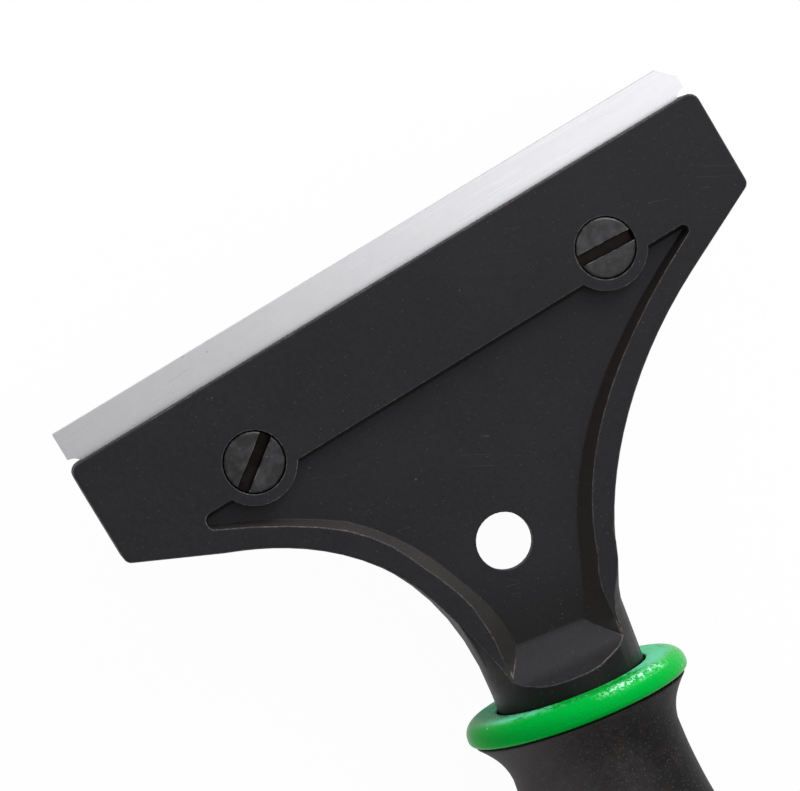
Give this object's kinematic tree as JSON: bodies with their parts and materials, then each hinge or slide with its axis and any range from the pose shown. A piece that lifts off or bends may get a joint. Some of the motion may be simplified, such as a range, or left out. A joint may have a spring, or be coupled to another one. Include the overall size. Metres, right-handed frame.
{
  "type": "surface scraper",
  "caption": "Surface scraper with a wide reversible steel blade screwed into a black moulded head, a green collar and a rubber-gripped handle set at a skew.",
  "frame": {"origin": "middle of the footprint, on the plane the tool rests on when it lies on its back", "axes": "+X along the blade to the right seen from the front, +Y towards the cutting edge, +Z out of the front face"},
  "size_m": [0.101, 0.1934, 0.0328],
  "materials": {
    "black_plastic": "moulded black plastic, semi-matt, lightly scuffed",
    "blade_steel": "spring steel strip ground bright along its edges",
    "black_steel": "blackened steel, semi-gloss",
    "zinc_steel": "zinc-plated steel",
    "green_plastic": "glossy bright green plastic",
    "black_rubber": "soft matt black rubber"
  },
  "bodies": {
    "head_and_handle": {"head_body": "black_plastic", "collar_ring": "green_plastic", "grip_sleeve": "black_rubber", "handle_tube": "black_plastic", "retaining_pin": "zinc_steel", "end_cap": "black_plastic"},
    "left_screw": {"screw_left": "black_steel"},
    "right_screw": {"screw_right": "black_steel"},
    "clamp_jaw": {"clamp_plate": "black_plastic", "nut_left": "zinc_steel", "nut_right": "zinc_steel"},
    "blade_strip": {"blade": "blade_steel"}
  },
  "joints": [
    {"name": "left_screw_turn", "type": "hinge", "parent": "head_and_handle", "child": "left_screw", "pos_m": [-0.0285, 0.07924, 0.0233], "axis": [0, 0, 1], "range_deg": [0, 720]},
    {"name": "right_screw_turn", "type": "hinge", "parent": "head_and_handle", "child": "right_screw", "pos_m": [0.0285, 0.07924, 0.0233], "axis": [0, 0, 1], "range_deg": [0, 720]},
    {"name": "clamp_slide", "type": "slide", "parent": "head_and_handle", "child": "clamp_jaw", "axis": [0, 0, -1], "range_m": [0, 0.0016]},
    {"name": "blade_slide", "type": "slide", "parent": "head_and_handle", "child": "blade_strip", "axis": [0, 1, 0], "range_m": [0, 0.012]}
  ],
  "couplings": [
    {"joint": "left_screw_turn", "follows": "clamp_slide", "rad_per_m": 7853.9},
    {"joint": "right_screw_turn", "follows": "clamp_slide", "rad_per_m": 7853.9}
  ]
}
